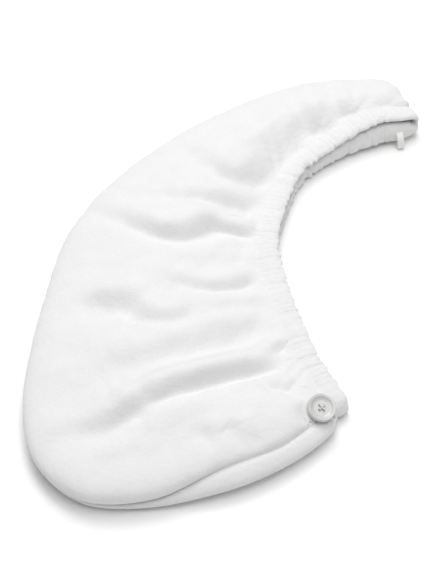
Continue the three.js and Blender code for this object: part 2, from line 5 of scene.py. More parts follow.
import bpy
import numpy as np
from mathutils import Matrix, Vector


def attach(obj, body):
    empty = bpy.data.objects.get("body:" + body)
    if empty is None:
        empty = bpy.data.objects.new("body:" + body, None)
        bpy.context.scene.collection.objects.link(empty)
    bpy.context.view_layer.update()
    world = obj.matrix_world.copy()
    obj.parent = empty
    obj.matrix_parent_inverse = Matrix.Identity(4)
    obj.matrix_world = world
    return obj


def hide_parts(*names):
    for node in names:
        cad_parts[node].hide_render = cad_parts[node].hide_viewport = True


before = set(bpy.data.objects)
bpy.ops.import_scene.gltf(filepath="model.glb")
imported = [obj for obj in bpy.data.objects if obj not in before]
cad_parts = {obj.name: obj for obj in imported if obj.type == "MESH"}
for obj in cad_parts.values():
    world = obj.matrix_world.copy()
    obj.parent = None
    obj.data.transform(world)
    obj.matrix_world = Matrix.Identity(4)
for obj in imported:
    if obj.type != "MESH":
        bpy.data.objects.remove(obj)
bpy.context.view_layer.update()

MM = 0.001

# The towel's sizes, in millimetres
TOWEL_LENGTH = 446
TOWEL_WIDTH = 319
POUCH_HEIGHT = 36
CLOTH_THICKNESS = 3
EDGE_ROLL = 22
SEAM_LIFT = 4.5
SEAM_GAP = 0.3
CASING_WIDTH = 18
CASING_THICKNESS = 6
STITCH_GAP = 0.1
# From the middle of the sections' table to the middle of the towel's footprint
SHIFT = np.array([3.950, -0.063, 0.0])

# A row for each section, from the button's corner to the tail's corner: the seam and the fold of the
# upper casing as shares of the towel's width and length, then heights as shares of the pouch's
# height, and how far the upper and the lower panel bulge outside the seam.
SECTION_COLUMNS = (
    "seam_x", "seam_y", "lip_x", "lip_y", "seam", "shoulder", "middle",
    "gape", "lift", "reach", "roll_up", "roll_down",
)
SECTION_ROWS = [
    (0.230, -0.290, 0.268, -0.280, 0.25, 0.56, 0.60, 0.16, 0.00, 0.00, 0.7, 1.2),
    (0.197, -0.322, 0.240, -0.257, 0.35, 0.64, 0.66, 0.19, 0.00, 0.00, 0.5, 1.9),
    (0.100, -0.387, 0.217, -0.228, 0.42, 0.73, 0.76, 0.22, 0.00, 0.00, 0.4, 1.6),
    (-0.039, -0.436, 0.194, -0.194, 0.42, 0.74, 0.84, 0.22, 0.00, 0.00, 0.5, 1.8),
    (-0.196, -0.482, 0.177, -0.157, 0.16, 0.69, 0.89, 0.22, 0.00, 0.00, 0.7, 1.3),
    (-0.352, -0.481, 0.162, -0.124, 0.10, 0.68, 0.92, 0.22, 0.00, 0.00, 0.8, 0.8),
    (-0.447, -0.421, 0.149, -0.090, 0.10, 0.70, 0.96, 0.22, 0.00, 0.00, 0.8, 0.8),
    (-0.487, -0.314, 0.136, -0.056, 0.12, 0.72, 0.97, 0.22, 0.00, 0.00, 0.8, 0.8),
    (-0.479, -0.184, 0.124, -0.018, 0.15, 0.74, 0.98, 0.22, 0.00, 0.00, 0.8, 0.8),
    (-0.452, -0.054, 0.113, 0.021, 0.16, 0.75, 1.00, 0.22, 0.00, 0.00, 0.8, 0.8),
    (-0.410, 0.080, 0.105, 0.059, 0.17, 0.76, 1.00, 0.22, 0.00, 0.00, 0.8, 0.8),
    (-0.327, 0.191, 0.108, 0.096, 0.18, 0.76, 1.00, 0.20, 0.01, 0.00, 0.8, 0.8),
    (-0.208, 0.290, 0.120, 0.145, 0.19, 0.76, 0.99, 0.17, 0.02, 0.00, 0.8, 0.8),
    (-0.067, 0.375, 0.141, 0.199, 0.20, 0.76, 0.97, 0.16, 0.03, 0.00, 0.8, 0.8),
    (0.087, 0.443, 0.175, 0.256, 0.20, 0.75, 0.93, 0.16, 0.04, 0.00, 0.8, 0.8),
    (0.228, 0.482, 0.224, 0.292, 0.20, 0.74, 0.88, 0.17, 0.06, 0.00, 0.8, 0.8),
    (0.340, 0.489, 0.284, 0.326, 0.20, 0.72, 0.83, 0.22, 0.08, 0.04, 0.8, 0.8),
    (0.399, 0.484, 0.342, 0.354, 0.20, 0.72, 0.83, 0.29, 0.10, 0.11, 0.8, 0.8),
    (0.423, 0.467, 0.393, 0.370, 0.20, 0.72, 0.84, 0.33, 0.11, 0.13, 0.8, 0.8),
    (0.442, 0.446, 0.438, 0.378, 0.20, 0.70, 0.80, 0.27, 0.10, 0.13, 0.8, 0.8),
    (0.450, 0.430, 0.479, 0.390, 0.20, 0.62, 0.68, 0.14, 0.08, 0.00, 0.8, 0.8),
]
SECTIONS = dict(zip(SECTION_COLUMNS, np.array(SECTION_ROWS).T))

# A row for each fold of the upper panel, in millimetres on the towel's footprint. The line runs from
# the mouth to the outer edge along the steep side, which faces the wide end: the cloth stands rise
# above its general height at spread on one side of it and rise below it at spread on the other.
# lean above nought widens the ridge and narrows the hollow.
FOLD_COLUMNS = ("start_x", "start_y", "mid_x", "mid_y", "end_x", "end_y", "rise", "spread", "lean")
FOLD_ROWS = [
    (35, 114, -3, 99, -50, 156, 3, 9, 0.1),
    (26, 75, -22, 69, -98, 78, 2.8, 7, 0.15),
    (20, 41, 5, 42, -34, 47, 3.8, 5.5, 0.2),
    (-7, 51, -49, 26, -121, 76, 5.1, 8, 0.2),
    (23, -6, -15, -24, -67, -16, 4.3, 6.5, 0.2),
    (-65, -43, -99, -42, -130, -38, 4.1, 10, 0),
    (-30, -56, -59, -63, -90, -45, 3.8, 8, 0.1),
    (29, -26, -1, -37, -53, -62, 2.7, 8, 0),
    (32, -47, -40, -87, -150, -137, 5.1, 13, 0.1),
    (43, -76, 37, -77, 16, -96, 4.6, 5.5, 0.1),
    (39, -93, -33, -125, -106, -162, 7.3, 8, 0.15),
    (-65, -144, -95, -162, -139, -166, 4.3, 9, 0.1),
    (47, -121, 32, -122, 18, -113, 2.6, 6, 0),
    (18, -164, 4, -167, -13, -161, 1.5, 6, 0),
    (-11, -175, -19, -169, -33, -162, 1.5, 7, 0),
    (78, 155, 65, 171, 57, 199, 3, 8, 0),
    (102, 172, 93, 183, 85, 217, 2, 6, 0),
]
FOLDS = [dict(zip(FOLD_COLUMNS, row)) for row in FOLD_ROWS]
FOLD_STEPS = 32
# Shares of a fold's length over which it rises at the mouth and dies away at its outer end
FOLD_STARTS_BEFORE = 0.05
FOLD_RISES_OVER = 0.25
FOLD_DIES_OVER = 0.5


# Curves and tables

def clamp01(x):
    return np.clip(x, 0.0, 1.0)


def smooth(x):
    x = clamp01(x)
    return x * x * (3 - 2 * x)


def unit(v):
    return v / np.maximum(1e-9, np.linalg.norm(v, axis=-1, keepdims=True))


def knot_gap(a, b):
    """The centripetal spacing between two rows of points."""
    return np.maximum(1e-6, np.sqrt(np.linalg.norm(b - a, axis=1)))[:, None]


def curve_points(points, t):
    """Points at t from 0 to 1 on the smooth centripetal curve through points."""
    points = np.asarray(points, float)
    last = len(points) - 1
    padded = np.vstack([2 * points[0] - points[1], points, 2 * points[last] - points[last - 1]])
    at = clamp01(np.asarray(t, float)) * last
    k = np.minimum(last - 1, np.floor(at).astype(int))
    w = (at - k)[:, None]
    p0, p1, p2, p3 = (padded[k + i] for i in range(4))
    d0, d1, d2 = knot_gap(p0, p1), knot_gap(p1, p2), knot_gap(p2, p3)
    t1 = ((p1 - p0) / d0 - (p2 - p0) / (d0 + d1) + (p2 - p1) / d1) * d1
    t2 = ((p2 - p1) / d1 - (p3 - p1) / (d1 + d2) + (p3 - p2) / d2) * d1
    c2 = 3 * (p2 - p1) - 2 * t1 - t2
    c3 = 2 * (p1 - p2) + t1 + t2
    return p1 + w * (t1 + w * (c2 + w * c3))


def column(name, t, size=POUCH_HEIGHT):
    """A column of the sections' table at t, with a smooth curve between the rows."""
    values = SECTIONS[name] * size
    last = len(values) - 1
    padded = np.concatenate([[2 * values[0] - values[1]], values, [2 * values[last] - values[last - 1]]])
    at = clamp01(np.asarray(t, float)) * last
    k = np.minimum(last - 1, np.floor(at).astype(int))
    w = at - k
    a, b, c, d = (padded[k + i] for i in range(4))
    return b + 0.5 * w * (c - a + w * (2 * a - 5 * b + 4 * c - d + w * (3 * (b - c) + d - a)))


# The mouth's two lips and the seam

FOOTPRINT = np.array([TOWEL_WIDTH, TOWEL_LENGTH])
LIP_ROWS = np.stack([SECTIONS["lip_x"], SECTIONS["lip_y"]], 1) * FOOTPRINT
ENDS = np.array([0.0, 1.0])
SLOPE_STEP = 0.002


def lip(t):
    return curve_points(LIP_ROWS, t)


def inward(t):
    """The level direction from the mouth's fold into the pouch."""
    tangent = unit(lip(clamp01(t + SLOPE_STEP)) - lip(clamp01(t - SLOPE_STEP)))
    return np.stack([-tangent[:, 1], tangent[:, 0]], 1)


def mouth_edge(t, outside=0.0):
    """The line where the casing meets a panel, moved outside by as much as given."""
    reach = np.broadcast_to(np.asarray(outside, float), t.shape)
    return lip(t) + inward(t) * (CASING_WIDTH + STITCH_GAP - reach)[:, None]


def lower_lip_height(t):
    return CASING_THICKNESS / 2 + column("lift", t)


def upper_lip_height(t):
    return lower_lip_height(t) + CASING_THICKNESS + column("gape", t)


SEAM_ROWS = np.stack([SECTIONS["seam_x"], SECTIONS["seam_y"]], 1) * FOOTPRINT
SEAM_ROWS[0], SEAM_ROWS[-1] = mouth_edge(ENDS)
SEAM_SAMPLES = 1200
SEAM_MEETS_CASING = 0.045
SEAM_SLOPE_STEP = 0.003
# Nearer to the seam than this, the way out is the seam's own direction, in millimetres
SEAM_BLEND = 3
seam_xy = curve_points(SEAM_ROWS, np.linspace(0, 1, SEAM_SAMPLES + 1))


def seam_height(t):
    free = SEAM_LIFT + column("seam", t)
    met = (upper_lip_height(t) + lower_lip_height(t)) / 2
    share = smooth(np.minimum(t, 1 - t) / SEAM_MEETS_CASING)
    return met + (free - met) * share


def nearest_seam(xy):
    """Distance to the seam, the place along it and the level direction out through it."""
    batch, coarse_step = 4000, 6
    distance = np.empty(len(xy))
    along = np.empty(len(xy))
    foot = np.empty((len(xy), 2))
    a, b = seam_xy[:-1], seam_xy[1:]
    edge = b - a
    edge_sq = np.sum(edge * edge, 1)
    for low in range(0, len(xy), batch):
        part = slice(low, low + batch)
        p = xy[part]
        coarse = np.linalg.norm(p[:, None] - seam_xy[None, ::coarse_step], axis=2).argmin(1) * coarse_step
        best = np.full(len(p), 1e9)
        for offset in range(-coarse_step - 1, coarse_step + 2):
            k = np.clip(coarse + offset, 0, SEAM_SAMPLES - 1)
            w = clamp01(np.sum((p - a[k]) * edge[k], 1) / edge_sq[k])
            q = a[k] + w[:, None] * edge[k]
            d = np.linalg.norm(p - q, axis=1)
            better = d < best
            best = np.where(better, d, best)
            foot[part][better] = q[better]
            along[part][better] = ((k + w) / SEAM_SAMPLES)[better]
        distance[part] = best
    ahead = curve_points(SEAM_ROWS, clamp01(along + SEAM_SLOPE_STEP))
    behind = curve_points(SEAM_ROWS, clamp01(along - SEAM_SLOPE_STEP))
    tangent = unit(ahead - behind)
    across = np.stack([-tangent[:, 1], tangent[:, 0]], 1)
    towards = unit(foot - xy)
    share = smooth(distance / SEAM_BLEND)[:, None]
    return distance, along, unit(across * (1 - share) + towards * share)


# Folds, gathers and small unevenness

def fold_height(xy):
    """The height that the folds add to the upper panel at points of its plan."""
    total = np.zeros(len(xy))
    for row in FOLDS:
        nodes = np.array([
            (row["start_x"], row["start_y"]), (row["mid_x"], row["mid_y"]), (row["end_x"], row["end_y"]),
        ]) - SHIFT[:2]
        path = curve_points(nodes, np.linspace(0, 1, FOLD_STEPS + 1))
        best = np.full(len(xy), 1e9)
        along = np.zeros(len(xy))
        side = np.zeros(len(xy))
        for k in range(FOLD_STEPS):
            a, e = path[k], path[k + 1] - path[k]
            w = clamp01((xy - a) @ e / (e @ e))
            o = xy - a - w[:, None] * e
            d = np.hypot(o[:, 0], o[:, 1])
            better = d < best
            best = np.where(better, d, best)
            along = np.where(better, (k + w) / FOLD_STEPS, along)
            side = np.where(better, np.sign(e[0] * o[:, 1] - e[1] * o[:, 0]), side)
        share = 1 - row["lean"] * side
        away = best * side / (row["spread"] * share)
        taper = smooth((along + FOLD_STARTS_BEFORE) / FOLD_RISES_OVER) * smooth((1 - along) / FOLD_DIES_OVER)
        total -= row["rise"] * share * taper * away * np.exp((1 - away ** 2) / 2)
    return total


def wander(x, seed, pitch):
    """A smooth uneven line about nought, with waves from pitch upwards."""
    rng = np.random.default_rng(seed)
    total = np.zeros_like(x, dtype=float)
    for wave in (1.0, 1.7, 2.9, 4.3):
        strength = 0.35 + 0.1 * wave
        total += np.sin(x / (pitch * wave) * 2 * math.pi + rng.uniform(0, 2 * math.pi)) * strength
    return total / 2


def unevenness(xy, seed, pitch, waves=14):
    """Soft uneven ground about nought, with waves of about pitch."""
    shortest, longest = 0.7, 1.6
    rng = np.random.default_rng(seed)
    total = np.zeros(len(xy))
    for _ in range(waves):
        angle = rng.uniform(0, math.pi)
        length = pitch * rng.uniform(shortest, longest)
        direction = np.array([math.cos(angle), math.sin(angle)])
        total += np.sin(xy @ direction / length * 2 * math.pi + rng.uniform(0, 2 * math.pi))
    return total / math.sqrt(waves)


# The puckers along the mouth, in millimetres
GATHER_PITCH = 4.6
GATHER_DEPTH = 0.15
GATHER_REACH = 9
GATHER_SEED_UPPER = 3
GATHER_SEED_LOWER = 21

# The longer pleats that run from the mouth into the panel
PLEAT_PITCH = 19
PLEAT_DEPTH = 0.5
PLEAT_MIDDLE = 10
PLEAT_REACH = 30
PLEAT_SEED = 9


def gathers(s, seed=GATHER_SEED_UPPER):
    """The small puckers along the mouth, about nought, at a length s along it."""
    phase = s / GATHER_PITCH + 0.55 * wander(s, seed, 17)
    strength = 0.75 + 0.45 * wander(s, seed + 1, 11)
    ridge = np.sin(2 * math.pi * phase)
    return strength * (ridge + 0.25 * np.sin(4 * math.pi * phase + 1.1))


def pleats(s):
    """The longer pleats, about nought, at a length s along the mouth."""
    phase = s / PLEAT_PITCH + 0.6 * wander(s, PLEAT_SEED, 43)
    return (0.7 + 0.5 * wander(s, PLEAT_SEED + 1, 31)) * np.sin(2 * math.pi * phase)


# The panels

PANEL_STATIONS = 400
UPPER_ROWS = 112
LOWER_ROWS = 64
# The share of the seam's curve that is left free at each end
SEAM_START = 0.004
# The greatest share of a section that the rounded edge takes up
EDGE_SHARE = 0.45
ROLL_RISE = 0.6
# A panel that bulges less than this outside the seam rolls over less as well
FULL_BULGE = 0.8
# The cloth is this much thicker along the seam
SEAM_PLUMP = 1.3
# The two panels part by this share of the distance from the seam
PARTING = 0.1
# The panel's edge comes up towards the casing's top, in millimetres
HEM_STEP = 0.8
HEM_REACH = 16
# How straight the upper panel runs down to the lip: 0 is a rounded fall, 1 a straight one
FALL_STRAIGHT = 0.4

# The button's seat, and the dimple that its thread draws in the cloth
BUTTON_SEAT = np.array([0.192 * TOWEL_WIDTH, -0.319 * TOWEL_LENGTH, 22.0])
BUTTON_TILT = math.radians(24)
BUTTON_TURN = math.radians(-62)
BUTTON_AXIS = np.array([
    math.sin(BUTTON_TILT) * math.cos(BUTTON_TURN),
    math.sin(BUTTON_TILT) * math.sin(BUTTON_TURN),
    math.cos(BUTTON_TILT),
])
DIMPLE_RADIUS = 14
DIMPLE_SLOPE = 0.6


def station_places(count):
    """Places along the mouth, closer together at its ends, and their lengths from the button's corner."""
    crowding = 0.08
    fine = np.linspace(0, 1, 3001)
    edge = mouth_edge(fine)
    lengths = np.concatenate([[0], np.cumsum(np.linalg.norm(np.diff(edge, axis=0), axis=1))])
    total = lengths[-1]
    even = np.linspace(0, 1, count)
    s = total * (even - crowding * np.sin(2 * math.pi * even) / (2 * math.pi))
    return np.interp(s, lengths, fine), s, total


def across_places(seam_pts, mouth_pts, rows):
    """Shares across each section: closer together on the rounded edge and at the mouth."""
    length = np.linalg.norm(mouth_pts - seam_pts, axis=1)
    edge = np.minimum(EDGE_SHARE, EDGE_ROLL / np.maximum(1, length))[:, None]
    near = rows // 4
    roll = edge * np.linspace(0, 1, near + 1)[None, :] ** 1.25
    rest = np.linspace(0, 1, rows - near)[None, 1:]
    rest = rest + 0.12 * np.sin(math.pi * rest) * (1 - rest)
    return np.hstack([roll, edge + (1 - edge) * rest])


def drawn_down(point):
    """The most that the cloth may stand up under and round the button."""
    offset = point[:, :2] - BUTTON_SEAT[:2]
    seat = BUTTON_SEAT[2] - offset @ BUTTON_AXIS[:2] / BUTTON_AXIS[2]
    rise = np.maximum(0, np.hypot(offset[:, 0], offset[:, 1]) - DIMPLE_RADIUS) * DIMPLE_SLOPE
    return seat - CLOTH_THICKNESS / 2 / BUTTON_AXIS[2] + rise


def soft_min(a, b, blend=1.5):
    share = clamp01(0.5 + (b - a) / (2 * blend))
    return b + (a - b) * share - blend * share * (1 - share)


def upper_height(plan, place, across, to_mouth, distance, length_at, ends):
    """The height of the upper panel's middle surface before its edge is rounded."""
    shoulder, middle, lip_z = column("shoulder", place), column("middle", place), upper_lip_height(place)
    far = 2 * across - 1
    fall = (1 - FALL_STRAIGHT) * smooth(far) + FALL_STRAIGHT * np.maximum(far, 0)
    height = np.where(
        across < 0.5,
        shoulder + (middle - shoulder) * smooth(2 * across),
        middle + (lip_z - middle) * fall,
    )
    height = height + fold_height(plan) * smooth((to_mouth + 8) / 24)
    broad = 0.8 * unevenness(plan, 5, 55) * smooth(to_mouth / 40) * smooth(distance / 30)
    soft = 0.26 * unevenness(plan, 6, 17) * smooth((to_mouth + 4) / 20)
    small = 0.10 * unevenness(plan, 7, 5.5, 24) * (0.3 + 0.7 * smooth(1 - to_mouth / 40)) * ends
    height = height + broad + soft + small
    puckers = gathers(length_at) * np.exp(-((to_mouth / GATHER_REACH) ** 2)) * GATHER_DEPTH
    long_pleats = pleats(length_at) * np.exp(-((to_mouth - PLEAT_MIDDLE) / PLEAT_REACH) ** 2) * PLEAT_DEPTH
    height = height + (puckers + long_pleats) * ends
    return height + HEM_STEP * smooth(1 - to_mouth / HEM_REACH) * ends


def lower_height(place, to_mouth, length_at, ends):
    """The height of the lower panel's middle surface before its edge is rounded."""
    rise = smooth(1 - to_mouth / (2 * EDGE_ROLL))
    height = CLOTH_THICKNESS / 2 + (lower_lip_height(place) - CLOTH_THICKNESS / 2) * rise
    return height + np.maximum(0, gathers(length_at)) * rise ** 2 * GATHER_DEPTH * ends


def panel_middle(side, rows):
    """The middle surface of a panel as a grid of points, with what its edges need to know."""
    upper = side == "upper"
    t, s, total = station_places(PANEL_STATIONS)
    seam_pts = curve_points(SEAM_ROWS, SEAM_START + (1 - 2 * SEAM_START) * t)
    mouth_pts = mouth_edge(t, np.zeros_like(t) if upper else column("reach", t))
    across = across_places(seam_pts, mouth_pts, rows)
    columns = across.shape[1]
    plan = seam_pts[:, None] * (1 - across[..., None]) + mouth_pts[:, None] * across[..., None]
    plan = plan.reshape(-1, 2)
    place = np.repeat(t, columns)
    length_at = np.repeat(s, columns)
    across = across.ravel()
    to_mouth = (1 - across) * np.repeat(np.linalg.norm(mouth_pts - seam_pts, axis=1), columns)
    out = -np.repeat(inward(t), columns, axis=0)
    distance, along, outward = nearest_seam(plan)
    on_seam = (across == 0) | (place == 0) | (place == 1)
    distance = np.where(on_seam, 0, distance)
    near_mouth = smooth(1 - to_mouth / EDGE_ROLL)
    outward = outward - out * (near_mouth * np.sum(outward * out, 1))[:, None]
    seam_z = seam_height(along)
    ends = smooth(np.minimum(length_at, total - length_at) / EDGE_ROLL)
    if upper:
        height = upper_height(plan, place, across, to_mouth, distance, length_at, ends)
        bulge = column("roll_up", along, 1)
        fullness = np.minimum(1, bulge / FULL_BULGE)
    else:
        height = lower_height(place, to_mouth, length_at, ends)
        bulge = column("roll_down", along, 1)
        fullness = 1
    roll = clamp01(distance / EDGE_ROLL)
    a = 3 * roll * (1 - roll) ** 2
    b = 3 * roll ** 2 * (1 - roll)
    push = a * bulge * np.abs(height - seam_z) + (roll - roll ** 3) * EDGE_ROLL * fullness
    share = a * ROLL_RISE + b + roll ** 3
    point = np.empty((len(plan), 3))
    point[:, :2] = plan + outward * push[:, None]
    point[:, 2] = seam_z + (height - seam_z) * share
    if upper:
        point[:, 2] = np.maximum(seam_z, soft_min(point[:, 2], drawn_down(point)))
    shape = (len(t), columns)
    return {
        "point": point.reshape(*shape, 3),
        "outward": outward.reshape(*shape, 2),
        "out": out.reshape(*shape, 2),
        "on_seam": on_seam.reshape(shape),
        "near_mouth": near_mouth.reshape(shape),
        "t": t,
        "s": s,
        "total": total,
    }


def grid_normals(point):
    along = np.gradient(point, axis=0)
    across = np.gradient(point, axis=1)
    return unit(np.cross(across, along))


def level_3d(xy):
    return np.concatenate([xy, np.zeros_like(xy[..., :1])], 2)


def skins(side, grid):
    """The outer and the inner face of a panel."""
    up = 1 if side == "upper" else -1
    point = grid["point"].copy()
    normal = grid_normals(point) * up
    out = level_3d(grid["out"])
    normal = unit(normal - out * (grid["near_mouth"] * np.sum(normal * out, 2))[..., None])
    level = level_3d(grid["outward"])
    before, after = lip(ENDS - np.array([0, SLOPE_STEP])), lip(ENDS + np.array([SLOPE_STEP, 0]))
    tangent = unit(after - before) * np.array([-1.0, 1.0])[:, None]
    level[0, :, :2], level[-1, :, :2] = tangent[0], tangent[1]
    on_seam = grid["on_seam"][..., None]
    normal = np.where(on_seam, unit(level), normal)
    point[..., 2] += np.where(grid["on_seam"], up * SEAM_GAP / 2, 0)
    faces = []
    for sign in (1, -1):
        skin = point + normal * sign * CLOTH_THICKNESS / 2 * np.where(on_seam, SEAM_PLUMP, 1.0)
        flat = skin.reshape(-1, 3)
        distance, along, _ = nearest_seam(flat[:, :2])
        limit = seam_height(along) + up * (SEAM_GAP / 2 + PARTING * distance)
        held = up * np.maximum(up * flat[:, 2], up * limit)
        free = grid["on_seam"].ravel() | (distance > EDGE_ROLL)
        flat[:, 2] = np.where(free, flat[:, 2], held)
        faces.append(flat.reshape(skin.shape))
    return faces


# The tail's end runs aslant: its inner and its outer corner move this far along the mouth's line
TAIL_SLANT = (-6.0, 3.0)
TAIL_SPREAD = 17
# The corner between the cloth and the casing is filled out this far
TAIL_FILL = 7.0
TAIL_FILL_SPREAD = 5.5
SHARP_ANGLE = math.radians(60)


def slanted_tail(points):
    """Moves points near the end of the casing at the tail along the mouth's line."""
    start, end = mouth_edge(ENDS)[1], lip(ENDS)[1]
    edge = end - start
    share = clamp01((points[..., :2] - start) @ edge / (edge @ edge))
    away = np.linalg.norm(points[..., :2] - start - share[..., None] * edge, axis=-1)
    along = unit(lip(ENDS)[1] - lip(ENDS - np.array([0, 0.01]))[1])
    slant = TAIL_SLANT[0] + (TAIL_SLANT[1] - TAIL_SLANT[0]) * share
    fill = TAIL_FILL * (1 - share) * np.exp(-((away / TAIL_FILL_SPREAD) ** 2))
    moved = np.array(points, float)
    moved[..., :2] += (slant * np.exp(-((away / TAIL_SPREAD) ** 2)) + fill)[..., None] * along
    return moved


def new_object(name, vertices, faces):
    mesh = bpy.data.meshes.new(name)
    mesh.from_pydata(((slanted_tail(np.asarray(vertices)) + SHIFT) * MM).tolist(), [], faces)
    mesh.update()
    mesh.polygons.foreach_set("use_smooth", np.ones(len(mesh.polygons), dtype=bool))
    mesh.set_sharp_from_angle(angle=SHARP_ANGLE)
    obj = bpy.data.objects.new(name, mesh)
    bpy.context.collection.objects.link(obj)
    return obj


def closed_sheet(name, outer, inner, flip):
    """A closed solid between two faces of the same grid."""
    rows, columns = outer.shape[:2]
    index = np.arange(rows * columns).reshape(rows, columns)
    count = rows * columns
    a, b = index[:-1, :-1].ravel(), index[:-1, 1:].ravel()
    c, d = index[1:, 1:].ravel(), index[1:, :-1].ravel()
    top = np.stack([a, b, c, d], 1)
    under = np.stack([a, d, c, b], 1) + count
    rim = np.concatenate([index[0, :-1], index[:-1, -1], index[-1, :0:-1], index[:0:-1, 0]])
    after = np.roll(rim, -1)
    wall = np.stack([rim, rim + count, after + count, after], 1)
    faces = np.concatenate([top, under, wall])
    if flip:
        faces = faces[:, ::-1]
    return new_object(name, np.concatenate([outer.reshape(-1, 3), inner.reshape(-1, 3)]), faces.tolist())


upper_grid = panel_middle("upper", UPPER_ROWS)
lower_grid = panel_middle("lower", LOWER_ROWS)
upper_cloth = closed_sheet("upper_plush", *skins("upper", upper_grid), flip=False)
lower_cloth = closed_sheet("lower_plush", *skins("lower", lower_grid), flip=True)


# The casing

# Its cross-section: shares of its width out from the panels' edges, and half its thickness there. It
# begins level with the cloth and inside it.
CASING_PROFILE = [
    (-0.08, 1.35), (0.01, 1.5), (0.06, 1.56), (0.13, 1.75), (0.21, 2.1), (0.30, 2.5), (0.40, 2.8),
    (0.50, 2.95), (0.60, 3.0), (0.70, 2.9), (0.79, 2.65), (0.87, 2.2), (0.94, 1.6), (0.985, 0.85),
]
CASING_SIDES = 2 * len(CASING_PROFILE) + 1
# What is left of its thickness and of its width at the mouth's two ends
CASING_PINCH = 0.8
CASING_NARROWING = 0.8
CORNER_REACH = 16
CORNER_PASSES = 60
PUCKER_SHARE = 0.6
# The lower lip is plumper in the tail, by this share of the gape
TAIL_PLUMP = 0.9


def casing_ring():
    """The closed line along the panels' mouth edges, with the way out of the mouth at each point."""
    upper, lower = upper_grid["point"][:, -1], lower_grid["point"][:, -1]
    out = upper_grid["out"][:, -1]
    s = upper_grid["s"]
    path = np.concatenate([upper, lower[-2:0:-1]])
    outs = np.concatenate([out, out[-2:0:-1]])
    lengths = np.concatenate([s, s[-2:0:-1]])
    return path, outs, lengths, len(upper)


def eased(values, weight, passes):
    """Rounds a closed line where weight is above nought."""
    values = values.copy()
    for _ in range(passes):
        mean = (np.roll(values, 1, 0) + np.roll(values, -1, 0)) / 2
        values += weight[:, None] * (mean - values) * 0.8
    return values


def build_casing():
    path, outs, lengths, upper_count = casing_ring()
    total = upper_grid["total"]
    from_end = np.minimum(lengths, total - lengths)
    roll = clamp01(from_end / EDGE_ROLL)
    path = eased(path, 1 - smooth(from_end / CORNER_REACH), CORNER_PASSES)
    tangent = unit(np.roll(path, -1, 0) - np.roll(path, 1, 0))
    out3 = np.concatenate([outs, np.zeros((len(outs), 1))], 1)
    normal = unit(np.cross(out3, tangent))
    is_upper = np.arange(len(path)) < upper_count
    ends = smooth(roll)
    puckers = np.where(is_upper, gathers(lengths), gathers(lengths, GATHER_SEED_LOWER))
    pucker = (PUCKER_SHARE * puckers * ends)[:, None]
    full = (CASING_PINCH + (1 - CASING_PINCH) * ends)[:, None]
    narrow = (CASING_NARROWING + (1 - CASING_NARROWING) * ends)[:, None]

    back = [(share, half) for share, half in reversed(CASING_PROFILE)]
    forth = [(share, -half) for share, half in CASING_PROFILE]
    across, thick = np.array([(1.0, 0.0)] + back + forth).T
    middle = np.sin(math.pi * clamp01(across))
    rim = np.maximum(0, across) ** 3
    ground = np.stack([np.repeat(lengths, CASING_SIDES), np.tile(across * CASING_WIDTH, len(path))], 1)
    rough = np.where(is_upper, 1, 1.3)[:, None] * ends[:, None]
    ragged = unevenness(ground, 31, 4.6, 24).reshape(len(path), CASING_SIDES) * rough
    lumps = unevenness(ground, 35, 13, 18).reshape(len(path), CASING_SIDES) * rough

    scallop = (0.2 * pucker + 0.55 * ragged + 0.4 * lumps - 0.4) * rim
    width = CASING_WIDTH * narrow * across + scallop
    wave = (0.13 * pucker + 0.20 * ragged + 0.22 * lumps) * middle
    in_tail = smooth((lengths / total - 0.58) / 0.14) * smooth((1 - lengths / total) / 0.05)
    gape = column("gape", np.interp(lengths, upper_grid["s"], upper_grid["t"]))
    plump = np.where(is_upper, 0, TAIL_PLUMP * in_tail) * gape
    inner_face = np.maximum(0, -thick / CASING_THICKNESS * 2) * smooth(2.5 * across)
    rise = full * thick * (1 + 0.02 * pucker * middle) + wave - plump[:, None] * inner_face
    verts = path[:, None] + out3[:, None] * width[..., None] + normal[:, None] * rise[..., None]
    verts[..., 2] = np.maximum(0, verts[..., 2])

    rings = len(path)
    index = np.arange(rings * CASING_SIDES).reshape(rings, CASING_SIDES)
    a, b = index, np.roll(index, -1, 1)
    c, d = np.roll(b, -1, 0), np.roll(a, -1, 0)
    faces = np.stack([a.ravel(), d.ravel(), c.ravel(), b.ravel()], 1)
    return new_object("gathered_casing", verts.reshape(-1, 3), faces.tolist())


casing_cloth = build_casing()


# Materials

def new_material(name, colour, roughness):
    material = bpy.data.materials.new(name)
    material.use_nodes = True
    shader = material.node_tree.nodes["Principled BSDF"]
    shader.inputs["Base Color"].default_value = (*colour, 1)
    shader.inputs["Roughness"].default_value = roughness
    return material, material.node_tree, shader


def noise(nodes, scale, detail, roughness=0.5):
    texture = nodes.new("ShaderNodeTexNoise")
    texture.inputs["Scale"].default_value = scale
    texture.inputs["Detail"].default_value = detail
    texture.inputs["Roughness"].default_value = roughness
    return texture


def weighed_sum(nodes, links, first, weight, second):
    """The sum of first times weight and second."""
    node = nodes.new("ShaderNodeMath")
    node.operation = "MULTIPLY_ADD"
    node.inputs[1].default_value = weight
    links.new(first, node.inputs[0])
    links.new(second, node.inputs[2])
    return node.outputs[0]


